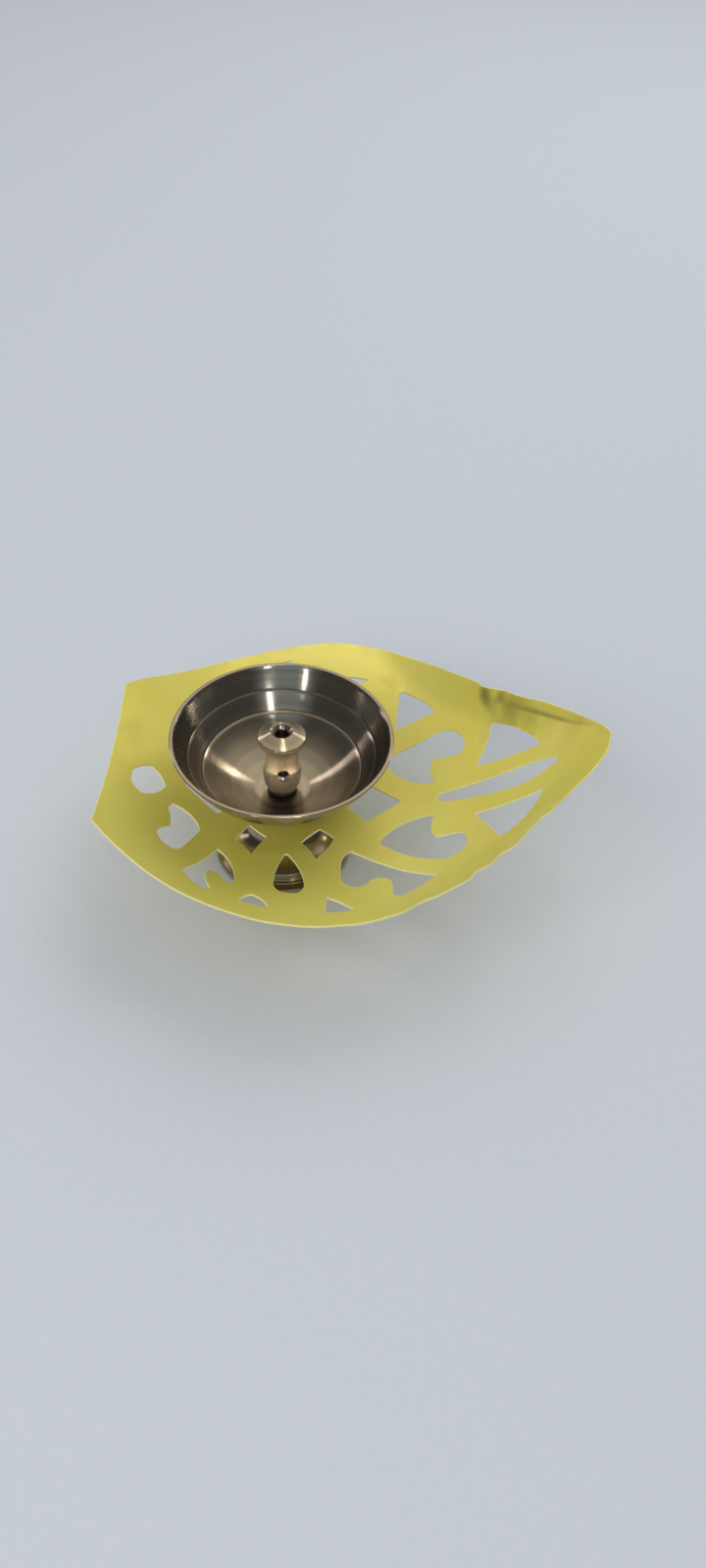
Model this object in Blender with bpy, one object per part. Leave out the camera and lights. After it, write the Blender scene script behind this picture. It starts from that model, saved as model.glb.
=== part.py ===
"""Small diya oil lamp: a turned bowl over a perforated leaf, clamped on a turned foot.

All sizes are in metres. The origin is the middle of the foot's flat underside, +Z runs up the
clamping axis, and +X runs along the leaf to its tip.
"""
import math

import bmesh
import bpy

MM = 0.001

# Driving dimensions -------------------------------------------------------------------------
CLEARANCE = 0.3 * MM            # left between two pieces that touch
TURNED_STEPS = 40               # facets round a turned piece
SMALL_STEPS = 24                # facets round a small one
MERGE_DISTANCE = 0.001 * MM
CUT_TOLERANCE = 0.02 * MM

FOOT_RADIUS = 16.3 * MM
FOOT_RIM_HEIGHT = 2.2 * MM
FOOT_EDGE_CHAMFER = 0.4 * MM
FOOT_STEP_RADIUS = 14.2 * MM    # the raised step inside the rim
FOOT_STEP_HEIGHT = 3.4 * MM
FOOT_STEP_EASE = 0.6 * MM
FOOT_WAIST_RADIUS = 6.6 * MM
WAIST_CURVE = 6.6 * MM          # radius of the sweep from the step up to the waist
WAIST_HEIGHT = 11.0 * MM
FLARE_CURVE = 2.4 * MM          # radius of the sweep from the waist out to the seat
SEAT_RADIUS = 9.0 * MM          # the leaf is gripped flat inside this radius
SEAT_EDGE = 1.4 * MM            # height of the plain edge under the seat

SHEET = 0.5 * MM                # thickness of the leaf
SEAT_HEIGHT = 18.0 * MM         # mid-thickness of the leaf at its middle

LEAF_TIP_X = 72.5 * MM
LEAF_HEEL_X = -39.4 * MM
LEAF_HALF_WIDTH = 45.9 * MM
TIP_RISE = 23.7 * MM            # how far the tip is bent up
TIP_BEND_START = 26.0 * MM
TIP_BEND_POWER = 1.85
HEEL_RISE = 10.0 * MM
HEEL_BEND_START = -10.0 * MM
SIDE_RISE = 9.5 * MM            # dish across the leaf at its widest
LIP_RISE = 3.4 * MM             # extra turn-up of the margin beside the tip
LIP_WIDTH = 10.0 * MM
LIP_FROM, LIP_FULL = 18.0 * MM, 42.0 * MM        # where along the leaf the turn-up grows
LIP_FADES, LIP_ENDS = 58.0 * MM, 72.0 * MM       # and where it dies out again
FLAT_WITHIN = 9.5 * MM          # the sheet stays flat to here, and is fully bent from there
BENT_BEYOND = 21.0 * MM
BEND_CELL = 8.0 * MM            # spacing of the lines that the sheet is bent along

RIM_HEIGHT = 36.9 * MM
RIM_RADIUS = 25.1 * MM
BOWL_WALL = 0.9 * MM
BOWL_DEPTH = 16.8 * MM
BOWL_CURVE = 31.9 * MM          # radius of the inside, seen in section
FLOOR_FLAT_RADIUS = 6.0 * MM    # flat spot that the wick holder stands on

STUD_RADIUS = 2.0 * MM
STUD_HOLE_RADIUS = 2.4 * MM
STUD_BLIND_DEPTH = 9.0 * MM     # how deep the stud sits in the foot
STUD_GRIP = 3.2 * MM            # how far it reaches into the wick holder
STUD_LEAD = 0.5 * MM            # chamfer at each end of the stud

WASHER_RADIUS = 3.4 * MM
WASHER_THICKNESS = 0.6 * MM

BEAD_RADIUS = 4.35 * MM         # the round bead at the wick holder's foot, gripped to turn it
BEAD_FOOT_RADIUS = 3.5 * MM
BEAD_HEIGHT = 8.4 * MM
BEAD_STEPS = 8
POST_RADIUS = 3.85 * MM
HEAD_RADIUS = 5.5 * MM
HEAD_EDGE = 1.5 * MM            # thickness of the head at its edge
HEAD_CONE = 1.25 * MM           # the head rises this far from its edge to the wick hole
HEAD_TOP = 38.35 * MM
HOLDER_CHAMFER = 0.3 * MM
WICK_MOUTH_RADIUS = 2.4 * MM
WICK_BORE_RADIUS = 1.5 * MM
WICK_BORE_FLOOR = 26.2 * MM
OIL_PORT_RADIUS = 1.1 * MM
OIL_PORT_HEIGHT = 28.03 * MM
OIL_PORT_TURN = math.radians(8.3)    # from square across the lamp

# Heights that follow from them --------------------------------------------------------------
FOOT_TOP = SEAT_HEIGHT - SHEET / 2 - CLEARANCE
BOSS_FACE = SEAT_HEIGHT + SHEET / 2 + CLEARANCE
BOWL_FLOOR = RIM_HEIGHT - BOWL_DEPTH
WASHER_FACE = BOWL_FLOOR + CLEARANCE
HOLDER_FACE = WASHER_FACE + WASHER_THICKNESS + CLEARANCE

# The leaf's edge in plan, as (x, y) in millimetres: its +Y side from tip to heel, and its -Y side
# from heel to tip, which was trimmed by hand and is wavy beside the tip
FAR_EDGE = [(71.7, 2.5), (68.2, 7.9), (60.0, 16.0), (55.0, 20.4), (49.5, 25.6), (46.6, 27.7),
            (45.4, 29.4), (41.6, 32.4), (34.5, 37.5), (27.2, 41.8), (19.7, 44.2), (11.0, 45.1),
            (-0.2, 43.5), (-14.8, 39.1), (-24.1, 34.2), (-39.2, 22.3)]
NEAR_EDGE = [(-39.4, -22.0), (-26.2, -32.1), (-15.1, -38.3), (-5.0, -43.2), (4.0, -45.6),
             (9.8, -45.9), (19.7, -43.9), (28.0, -40.4), (34.5, -36.9), (41.6, -33.0), (43.0, -30.9),
             (46.3, -29.3), (48.2, -26.9), (51.2, -25.3), (57.2, -18.9), (60.0, -17.0), (65.1, -11.6),
             (70.9, -5.2)]
TIP_CURVE = [(72.4, -2.2), (72.4, 0.6)]
HEEL_BOW = (-39.1, 0.0)

# Openings as closed loops of (x, y, bulge) in millimetres, counter-clockwise. The bulge shapes the
# side that starts at that point: 0 is straight, 1 is a half circle, and below 0 curves inwards.
DROP_AT_HEEL = [(-30.8, 2.1, 0.34), (-34.2, -2.7, 0.34), (-31.2, -7.1, 0.26), (-26.9, -2.7, 0.26)]
DIAMOND_AT_HEEL = [(-22.8, -0.3, 0), (-14.3, -7.8, 0), (-10.4, 0, 0), (-14.9, 7.6, 0)]
DIAMOND_AT_MIDRIB = [(12.2, -0.6, 0), (19.9, -7.9, 0), (27.5, -0.9, 0), (18.8, 5.2, 0)]
MIDRIB_SLOT = [(37.6, 1.0, 0.9), (37.6, -1.9, 0.03), (54.0, -3.0, 0.14), (62.1, 0.3, 0.45),
               (61.2, 2.0, 0.08), (54.0, 2.8, 0.04)]

# These are as they lie on the +Y side. The ones on the -Y side are mirrored.
TEARDROP = [(2.3, 20.3, 0.13), (6.95, 30.4, 0.30), (5.4, 34.0, 0.08), (2.2, 33.8, 0.28),
            (0.3, 30.0, 0.10)]
HEEL_DIAMOND = [(-6.8, 10.5, 0), (-2.6, 14.2, 0), (-5.2, 20.8, 0), (-9.6, 15.2, 0)]
TIP_DIAMOND = [(9.1, 10.9, 0.05), (12.7, 14.0, 0.09), (9.0, 21.4, -0.06), (5.4, 15.7, 0.04)]
HEEL_COMMA = [(-24.6, 7.4, 0.29), (-17.6, 14.2, 0.05), (-20.5, 20.7, 0.30), (-22.4, 22.0, 0.25),
              (-26.4, 18.2, 0.35), (-25.6, 15.8, 0), (-24.1, 14.9, -0.10)]
HEEL_SCROLL = [(-12.9, 19.8, 0.20), (-8.1, 30.8, 0.40), (-9.2, 31.4, -0.16), (-13.6, 27.5, -0.50),
               (-14.5, 28.8, -0.12), (-12.8, 34.1, 0.15), (-19.5, 28.3, -0.08)]
HEEL_SPUR = [(-6.2, 37.2, 0.22), (-3.8, 35.0, 0.18), (-0.4, 39.3, -0.06)]
MIRRORED_PAIRS = [TEARDROP, HEEL_DIAMOND, TIP_DIAMOND, HEEL_COMMA, HEEL_SCROLL, HEEL_SPUR]

NEAR_PETAL = [(44.5, 7.8, 0), (58.5, 7.0, 0.17), (49.4, 17.6, -0.04)]
NEAR_COMMA = [(23.1, 14.7, 0.28), (35.6, 5.6, -0.22), (35.4, 13.0, -0.04), (40.3, 12.7, 0.38),
              (42.4, 16.0, 0.38), (36.8, 21.1, 0.12)]
NEAR_SCROLL = [(16.4, 18.3, -0.08), (35.5, 26.3, 0.08), (27.2, 33.2, 0.10), (25.8, 28.2, -0.55),
               (20.8, 28.6, 0.22), (18.2, 30.8, 0.38), (14.7, 27.8, 0.05), (14.6, 22.6, 0.26)]
NEAR_SPUR = [(12.0, 35.0, 0.08), (17.6, 38.8, -0.03), (11.9, 40.6, 0)]
NEAR_SIDE = [NEAR_PETAL, NEAR_COMMA, NEAR_SCROLL, NEAR_SPUR]

FAR_PETAL = [(45.0, 7.2, 0), (58.9, 7.4, 0.16), (49.1, 18.7, -0.08)]
FAR_COMMA = [(23.2, 12.0, 0.30), (35.7, 4.6, -0.20), (35.2, 11.8, -0.03), (40.5, 12.0, 0.38),
             (42.7, 15.2, 0.36), (38.2, 20.3, 0.06)]
FAR_SCROLL = [(26.2, 21.2, 0), (35.6, 26.5, 0.12), (27.0, 32.3, 0.03)]
FAR_LOBE = [(16.4, 18.3, 0), (21.4, 20.4, 0.14), (21.2, 28.6, 0.12), (18.2, 30.8, 0.38),
            (14.7, 27.8, 0.05), (14.6, 22.6, 0.26)]
FAR_SPUR = [(12.0, 31.5, 0), (18.9, 35.3, 0.08), (13.5, 35.9, 0)]
FAR_SIDE = [FAR_PETAL, FAR_COMMA, FAR_SCROLL, FAR_LOBE, FAR_SPUR]


# Helpers --------------------------------------------------------------------------------------
def clear_scene():
    for old in list(bpy.data.objects):
        bpy.data.objects.remove(old, do_unlink=True)


def metal(name, colour, roughness, metallic=1.0):
    material = bpy.data.materials.new(name)
    material.use_nodes = True
    shader = material.node_tree.nodes["Principled BSDF"]
    shader.inputs["Base Color"].default_value = (*colour, 1.0)
    shader.inputs["Roughness"].default_value = roughness
    shader.inputs["Metallic"].default_value = metallic
    return material


def add_object(name, mesh, material, parent):
    mesh.materials.append(material)
    mesh.shade_smooth()
    mesh.set_sharp_from_angle(angle=math.radians(30))
    made = bpy.data.objects.new(name, mesh)
    made.parent = parent
    bpy.context.collection.objects.link(made)
    return made


def add_joint_empty(name, height, parent=None):
    """An empty on the lamp's axis, at the joint that the pieces under it move on."""
    empty = bpy.data.objects.new(name, None)
    empty.empty_display_size = 5 * MM
    empty.parent = parent
    empty.location = (0, 0, height if parent is None else height - parent.location.z)
    bpy.context.collection.objects.link(empty)
    return empty


def arc(centre_r, centre_z, radius, start_deg, end_deg, steps):
    """Points along an arc in the (radius, height) half-plane."""
    points = []
    for step in range(steps + 1):
        angle = math.radians(start_deg + (end_deg - start_deg) * step / steps)
        points.append((centre_r + radius * math.cos(angle), centre_z + radius * math.sin(angle)))
    return points


def turn(profile, base_height, steps=TURNED_STEPS):
    """Spin a closed (radius, height) profile round Z into one solid mesh."""
    bm = bmesh.new()
    ring = [bm.verts.new((radius, 0, height - base_height)) for radius, height in profile]
    edges = [bm.edges.new((ring[i - 1], ring[i])) for i in range(len(ring))]
    axis_edges = [edge for edge in edges if all(vert.co.x < MERGE_DISTANCE for vert in edge.verts)]
    bmesh.ops.delete(bm, geom=axis_edges, context="EDGES_FACES")
    bmesh.ops.spin(bm, geom=bm.verts[:] + bm.edges[:], cent=(0, 0, 0), axis=(0, 0, 1),
                   angle=math.tau, steps=steps, use_merge=True, use_duplicate=False)
    bmesh.ops.remove_doubles(bm, verts=bm.verts[:], dist=MERGE_DISTANCE)
    bmesh.ops.recalc_face_normals(bm, faces=bm.faces[:])
    mesh = bpy.data.meshes.new("turned")
    bm.to_mesh(mesh)
    bm.free()
    return mesh


# The turned foot and its stud -------------------------------------------------------------------
def foot_profile():
    """The foot as a squat spool: rim, step, waist and seat, with a blind hole for the stud."""
    blind_floor = FOOT_TOP - STUD_BLIND_DEPTH
    waist = arc(FOOT_WAIST_RADIUS + WAIST_CURVE, WAIST_HEIGHT, WAIST_CURVE, 270, 180, 5)
    flare = arc(SEAT_RADIUS, FOOT_TOP - SEAT_EDGE - FLARE_CURVE, FLARE_CURVE, 180, 90, 3)
    outside = [(FOOT_RADIUS - FOOT_EDGE_CHAMFER, 0), (FOOT_RADIUS, FOOT_EDGE_CHAMFER),
               (FOOT_RADIUS, FOOT_RIM_HEIGHT - FOOT_EDGE_CHAMFER),
               (FOOT_RADIUS - FOOT_EDGE_CHAMFER, FOOT_RIM_HEIGHT),
               (FOOT_STEP_RADIUS, FOOT_RIM_HEIGHT), (FOOT_STEP_RADIUS, FOOT_STEP_HEIGHT),
               (FOOT_STEP_RADIUS - FOOT_STEP_EASE, FOOT_STEP_HEIGHT + FOOT_STEP_EASE)]
    hole = [(STUD_HOLE_RADIUS, FOOT_TOP), (STUD_HOLE_RADIUS, blind_floor), (0, blind_floor)]
    return [(0, 0)] + outside + waist + flare + [(SEAT_RADIUS, FOOT_TOP)] + hole


def build_foot(material, parent):
    return add_object("foot", turn(foot_profile(), 0), material, parent)


def build_centre_stud(material, parent):
    low = FOOT_TOP - STUD_BLIND_DEPTH + CLEARANCE
    high = HOLDER_FACE + STUD_GRIP
    profile = [(0, low), (STUD_RADIUS - STUD_LEAD, low), (STUD_RADIUS, low + STUD_LEAD),
               (STUD_RADIUS, high - STUD_LEAD), (STUD_RADIUS - STUD_LEAD, high), (0, high)]
    return add_object("centre_stud", turn(profile, 0, steps=SMALL_STEPS), material, parent)


# The leaf ---------------------------------------------------------------------------------------
def smooth_path(points, steps):
    """A Catmull-Rom curve through the points, without the last one."""
    path = []
    padded = [points[0]] + points + [points[-1]]
    for a, b, c, d in zip(padded, padded[1:], padded[2:], padded[3:]):
        for step in range(steps):
            t = step / steps
            path.append(tuple(0.5 * (2 * b[k] + (c[k] - a[k]) * t
                                     + (2 * a[k] - 5 * b[k] + 4 * c[k] - d[k]) * t ** 2
                                     + (3 * b[k] - a[k] - 3 * c[k] + d[k]) * t ** 3) for k in (0, 1)))
    return path


def leaf_edges():
    """The +Y side from tip to heel and the -Y side from heel to tip, as points in metres."""
    to_metres = [[(x * MM, y * MM) for x, y in side] for side in (FAR_EDGE, NEAR_EDGE)]
    return [smooth_path(side, 2) + [side[-1]] for side in to_metres]


def leaf_outline():
    """The leaf's edge as a closed loop in metres, counter-clockwise."""
    far, near = leaf_edges()
    tip, bow = [[(x * MM, y * MM) for x, y in part] for part in (TIP_CURVE, [HEEL_BOW])]
    return far + bow + near + tip


def bulged_loop(corners, side=1):
    """Turn (x, y, bulge) corners in millimetres into a loop of points in metres."""
    loop = []
    for (x0, y0, bulge), (x1, y1, _) in zip(corners, corners[1:] + corners[:1]):
        turn_angle = 4 * math.atan(bulge)
        steps = max(1, math.ceil(abs(turn_angle) / math.radians(36)))
        for step in range(steps):
            if abs(bulge) < 1e-6:
                along, across = step / steps, 0.0
            else:
                part = turn_angle * (step / steps - 0.5)
                along = 0.5 + math.sin(part) / (2 * math.sin(turn_angle / 2))
                across = (math.cos(part) - math.cos(turn_angle / 2)) / (2 * math.sin(turn_angle / 2))
            x = x0 + (x1 - x0) * along + (y1 - y0) * across
            y = y0 + (y1 - y0) * along - (x1 - x0) * across
            loop.append((x * MM, side * y * MM))
    return loop


def leaf_openings():
    on_axis = [DROP_AT_HEEL, DIAMOND_AT_HEEL, DIAMOND_AT_MIDRIB, MIDRIB_SLOT]
    loops = [bulged_loop(shape) for shape in on_axis + FAR_SIDE + MIRRORED_PAIRS]
    loops += [bulged_loop(shape, -1) for shape in NEAR_SIDE + MIRRORED_PAIRS]
    angles = [math.tau * step / SMALL_STEPS for step in range(SMALL_STEPS)]
    loops.append([(STUD_HOLE_RADIUS * math.cos(a), STUD_HOLE_RADIUS * math.sin(a)) for a in angles])
    return loops


def smoothstep(value, low, high):
    t = min(max((value - low) / (high - low), 0.0), 1.0)
    return t * t * (3 - 2 * t)


def room_to_edge(x, y, edges):
    """How far a place lies inside the leaf's edge, straight across the leaf."""
    far, near = edges
    side, way = (far, 1) if y >= 0 else (near[::-1], -1)
    for (xa, ya), (xb, yb) in zip(side, side[1:]):
        if xb <= x <= xa and xa > xb:
            return max(way * (ya + (yb - ya) * (xa - x) / (xa - xb) - y), 0.0)
    return 0.0


def leaf_height(x, y, edges):
    """Height of the bent sheet's middle above the table at a place in plan."""
    rise = SIDE_RISE * (abs(y) / LEAF_HALF_WIDTH) ** 2
    if x > TIP_BEND_START:
        reach = (x - TIP_BEND_START) / (LEAF_TIP_X - TIP_BEND_START)
        rise += TIP_RISE * reach ** TIP_BEND_POWER
    if x < HEEL_BEND_START:
        reach = (HEEL_BEND_START - x) / (HEEL_BEND_START - LEAF_HEEL_X)
        rise += HEEL_RISE * reach ** 2
    inboard = room_to_edge(x, y, edges)
    if inboard < LIP_WIDTH:
        beside_tip = smoothstep(x, LIP_FROM, LIP_FULL) * (1 - smoothstep(x, LIP_FADES, LIP_ENDS))
        rise += LIP_RISE * beside_tip * (1 - inboard / LIP_WIDTH) ** 2
    return SEAT_HEIGHT + rise * smoothstep(math.hypot(x, y), FLAT_WITHIN, BENT_BEYOND)


def flat_leaf_mesh(outline):
    """The leaf cut from flat sheet: a filled curve with its openings as inner loops."""
    curve = bpy.data.curves.new("leaf_blank", "CURVE")
    curve.dimensions = "2D"
    curve.fill_mode = "BOTH"
    for loop in [outline] + leaf_openings():
        spline = curve.splines.new("POLY")
        spline.points.add(len(loop) - 1)
        for point, (x, y) in zip(spline.points, loop):
            point.co = (x, y, 0, 1)
        spline.use_cyclic_u = True
    blank = bpy.data.objects.new("leaf_blank", curve)
    mesh = bpy.data.meshes.new_from_object(blank)
    bpy.data.objects.remove(blank, do_unlink=True)
    bpy.data.curves.remove(curve)
    return mesh


def build_leaf_plate(material, parent):
    edges = leaf_edges()
    bm = bmesh.new()
    bm.from_mesh(flat_leaf_mesh(leaf_outline()))
    bmesh.ops.remove_doubles(bm, verts=bm.verts[:], dist=MERGE_DISTANCE)
    for axis in (0, 1):
        low = min(vert.co[axis] for vert in bm.verts)
        high = max(vert.co[axis] for vert in bm.verts)
        for step in range(math.ceil(low / BEND_CELL), math.floor(high / BEND_CELL) + 1):
            place = [0, 0, 0]
            place[axis] = (step + 0.5) * BEND_CELL
            normal = [0, 0, 0]
            normal[axis] = 1
            bmesh.ops.bisect_plane(bm, geom=bm.verts[:] + bm.edges[:] + bm.faces[:],
                                   plane_co=place, plane_no=normal, dist=CUT_TOLERANCE)
    bmesh.ops.dissolve_limit(bm, angle_limit=math.radians(1), verts=[], edges=inner_slivers(bm))
    bmesh.ops.triangulate(bm, faces=bm.faces[:])
    for face in bm.faces:
        if face.normal.z < 0:
            face.normal_flip()
    for vert in bm.verts:
        vert.co.z = leaf_height(vert.co.x, vert.co.y, edges) - parent.location.z
    bm.normal_update()
    mesh = bpy.data.meshes.new("leaf_plate")
    bm.to_mesh(mesh)
    bm.free()
    plate = add_object("leaf_plate", mesh, material, parent)
    thickness = plate.modifiers.new("sheet_thickness", "SOLIDIFY")
    thickness.thickness = SHEET
    thickness.offset = 0
    return plate


def inner_slivers(bm):
    """Edges inside a bend cell, left by the fill, that the cell doesn't need."""
    spare = []
    for edge in bm.edges:
        if len(edge.link_faces) != 2:
            continue
        cells = set()
        for face in edge.link_faces:
            centre = face.calc_center_median()
            cells.add((math.floor(centre.x / BEND_CELL - 0.5), math.floor(centre.y / BEND_CELL - 0.5)))
        if len(cells) == 1:
            spare.append(edge)
    return spare


# The bowl and what stands in it -------------------------------------------------------------------
def bowl_profile():
    """The bowl's section: an arc from the flat floor to the mouth, and one outside it."""
    mouth = RIM_RADIUS - BOWL_WALL
    half_r, half_z = (mouth - FLOOR_FLAT_RADIUS) / 2, BOWL_DEPTH / 2
    half_chord = math.hypot(half_r, half_z)
    set_back = math.sqrt(BOWL_CURVE ** 2 - half_chord ** 2)
    centre_r = FLOOR_FLAT_RADIUS + half_r - set_back * half_z / half_chord
    centre_z = BOWL_FLOOR + half_z + set_back * half_r / half_chord
    outer_curve = math.hypot(RIM_RADIUS - centre_r, RIM_HEIGHT - centre_z)

    def angle_at(radius, curve):
        return -math.degrees(math.acos((radius - centre_r) / curve))

    inside = arc(centre_r, centre_z, BOWL_CURVE, angle_at(FLOOR_FLAT_RADIUS, BOWL_CURVE),
                 angle_at(mouth, BOWL_CURVE), 9)
    outside = arc(centre_r, centre_z, outer_curve, angle_at(RIM_RADIUS, outer_curve),
                  angle_at(SEAT_RADIUS, outer_curve), 7)
    hole = [(STUD_HOLE_RADIUS, BOSS_FACE), (STUD_HOLE_RADIUS, BOWL_FLOOR)]
    return hole + inside + outside + [(SEAT_RADIUS, BOSS_FACE)]


def build_oil_bowl(material, parent):
    return add_object("oil_bowl", turn(bowl_profile(), parent.location.z), material, parent)


def build_seal_washer(material, parent):
    high = WASHER_FACE + WASHER_THICKNESS
    profile = [(STUD_HOLE_RADIUS, WASHER_FACE), (WASHER_RADIUS, WASHER_FACE), (WASHER_RADIUS, high),
               (STUD_HOLE_RADIUS, high)]
    return add_object("seal_washer", turn(profile, parent.location.z, steps=SMALL_STEPS), material, parent)


def bead_profile():
    """The bead's outside from its flat underside up to the post, as a squashed quarter and more."""
    middle = HOLDER_FACE + BEAD_HEIGHT / 2
    low = -math.acos(BEAD_FOOT_RADIUS / BEAD_RADIUS)
    high = math.acos(POST_RADIUS / BEAD_RADIUS)
    squash = (HOLDER_FACE - middle) / math.sin(low)
    angles = [low + (high - low) * step / BEAD_STEPS for step in range(BEAD_STEPS + 1)]
    return [(BEAD_RADIUS * math.cos(a), middle + squash * math.sin(a)) for a in angles]


def build_wick_holder(material, parent):
    base = parent.location.z + parent.parent.location.z
    edge_top = HEAD_TOP - HEAD_CONE
    head_low = edge_top - HEAD_EDGE
    bore_top = HEAD_TOP - (WICK_MOUTH_RADIUS - WICK_BORE_RADIUS)
    socket_top = HOLDER_FACE + STUD_GRIP + CLEARANCE
    chamfer = HOLDER_CHAMFER
    profile = [(STUD_HOLE_RADIUS, HOLDER_FACE)] + bead_profile() + [
        (POST_RADIUS, head_low - 2 * chamfer), (POST_RADIUS + 2 * chamfer, head_low),
        (HEAD_RADIUS - chamfer, head_low), (HEAD_RADIUS, head_low + chamfer),
        (HEAD_RADIUS, edge_top - chamfer), (HEAD_RADIUS - chamfer, edge_top),
        (WICK_MOUTH_RADIUS, HEAD_TOP), (WICK_BORE_RADIUS, bore_top),
        (WICK_BORE_RADIUS, WICK_BORE_FLOOR), (0, WICK_BORE_FLOOR - chamfer),
        (0, socket_top), (STUD_HOLE_RADIUS, socket_top)]
    holder = add_object("wick_holder", turn(profile, base), material, parent)

    reach = 2 * HEAD_RADIUS
    port = [(0, reach), (OIL_PORT_RADIUS, reach), (OIL_PORT_RADIUS, -reach), (0, -reach)]
    drill = bpy.data.objects.new("oil_port_drill", turn(port, 0, steps=16))
    drill.parent = parent
    drill.location.z = OIL_PORT_HEIGHT - base
    drill.rotation_euler = (math.radians(90), 0, OIL_PORT_TURN)
    drill.hide_render = True
    drill.display_type = "WIRE"
    bpy.context.collection.objects.link(drill)
    cut = holder.modifiers.new("oil_port", "BOOLEAN")
    cut.operation = "DIFFERENCE"
    cut.object = drill
    return holder


# The whole lamp -----------------------------------------------------------------------------------
def build_lamp():
    clear_scene()
    dark_bronze = metal("polished_bronze", (0.42, 0.35, 0.27), 0.18)
    bright_bronze = metal("turned_bronze", (0.46, 0.40, 0.33), 0.16)
    gold_lacquer = metal("gold_lacquer", (0.62, 0.55, 0.12), 0.42, 0.35)
    plain_steel = metal("zinc_steel", (0.62, 0.62, 0.60), 0.35)
    dark_fibre = metal("dark_fibre", (0.05, 0.04, 0.04), 0.8, 0.0)

    base = add_joint_empty("base_axis", 0)
    leaf_turn = add_joint_empty("leaf_swivel_axis", SEAT_HEIGHT)
    bowl_lift = add_joint_empty("bowl_lift_axis", BOSS_FACE)
    holder_lift = add_joint_empty("wick_holder_lift_axis", HOLDER_FACE, bowl_lift)

    build_foot(dark_bronze, base)
    build_centre_stud(plain_steel, base)
    build_leaf_plate(gold_lacquer, leaf_turn)
    build_oil_bowl(bright_bronze, bowl_lift)
    build_seal_washer(dark_fibre, bowl_lift)
    build_wick_holder(bright_bronze, holder_lift)
    bpy.context.view_layer.update()


build_lamp()
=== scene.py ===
# %% [markdown]
# # A small diya, an oil lamp on a gilded leaf
# The lamp is six pieces. Five of them are threaded on the sixth, a steel stud: a turned bronze
# foot, a leaf cut from thin lacquered sheet, a spun bronze bowl, a fibre washer, and a little
# bronze wick holder that screws down on the stud and clamps everything together. The measured
# model is loaded first, because it says where each piece sits and how it moves. Everything made
# below takes its place from it.
# %% Load the frame
import math

import bmesh
import bpy
from mathutils import Matrix, Vector


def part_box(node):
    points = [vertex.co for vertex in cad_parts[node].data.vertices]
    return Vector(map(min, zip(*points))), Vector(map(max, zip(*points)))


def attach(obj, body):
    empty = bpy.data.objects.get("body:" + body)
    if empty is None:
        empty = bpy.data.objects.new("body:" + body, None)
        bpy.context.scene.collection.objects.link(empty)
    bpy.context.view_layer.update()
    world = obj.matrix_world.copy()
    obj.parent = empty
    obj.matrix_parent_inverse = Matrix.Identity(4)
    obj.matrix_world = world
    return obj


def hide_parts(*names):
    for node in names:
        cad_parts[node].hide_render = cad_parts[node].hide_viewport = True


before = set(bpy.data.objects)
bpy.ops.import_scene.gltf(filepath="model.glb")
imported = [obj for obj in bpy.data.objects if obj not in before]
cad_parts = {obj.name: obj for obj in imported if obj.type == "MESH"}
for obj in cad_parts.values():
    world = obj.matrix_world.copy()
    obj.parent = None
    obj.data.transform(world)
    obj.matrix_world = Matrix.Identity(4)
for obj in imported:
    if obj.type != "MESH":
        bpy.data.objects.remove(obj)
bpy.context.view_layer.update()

MM = 0.001
print("pieces:", sorted(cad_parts))

# %% [markdown]
# ## Where the pieces meet
# The heights of the stack along the stud, and the radii of its pieces, could be typed in again,
# but then the two models could drift apart, so each one is read from the box of a measured piece.
# %% Heights and radii from the measured pieces


def height_span(node):
    """Lowest and highest point of a measured piece."""
    low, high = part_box(node)
    return low.z, high.z


def half_size(node):
    """Radius of a turned piece, from its box."""
    low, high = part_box(node)
    return (high.x - low.x) / 2


FOOT_TOP = height_span("foot")[1]
FOOT_RADIUS = half_size("foot")
BOSS_FACE, RIM_HEIGHT = height_span("oil_bowl")
RIM_RADIUS = half_size("oil_bowl")
WASHER_FACE, WASHER_TOP = height_span("seal_washer")
WASHER_RADIUS = half_size("seal_washer")
HOLDER_FACE, HOLDER_TOP = height_span("wick_holder")
HEAD_RADIUS = half_size("wick_holder")
STUD_LOW, STUD_HIGH = height_span("centre_stud")
print("stack, in mm:", [round(z / MM, 2) for z in (FOOT_TOP, BOSS_FACE, WASHER_FACE, HOLDER_FACE)])

# %% [markdown]
# ## Camera
# The lamp is seen from a little to its front and well above, close up, so that the near edge of
# the leaf looks larger than the far one. A long lens would flatten it. The camera is turned a
# little about its own axis as well, as a hand-held one is.
# %% Camera
LENS_MM = 28.125
LOOK_DOWN = math.radians(45.73)
ROLL = math.radians(2.7)
EYE_MM = (16.38, -197.98, 225.54)

bpy.ops.object.select_all(action="DESELECT")
turn = Matrix.Rotation(math.pi / 2 - LOOK_DOWN, 4, "X") @ Matrix.Rotation(ROLL, 4, "Z")
bpy.ops.object.camera_add(location=[part * MM for part in EYE_MM], rotation=turn.to_euler())
camera = bpy.context.object
camera.name = "eye"
camera.data.lens = LENS_MM
camera.data.clip_start = 0.01
bpy.context.scene.camera = camera
print("camera is", round(camera.location.length / MM), "mm from the middle of the foot")

# %% [markdown]
# ## Floor
# A plain pale sheet under the lamp. A small plane would show its end behind the lamp, so it is
# made far larger than what the camera sees of it.
# %% Floor
FLOOR_SIZE = 4.0

bpy.ops.mesh.primitive_plane_add(size=FLOOR_SIZE, location=(0, 0, 0))
floor = bpy.context.object
floor.name = "floor"

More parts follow.
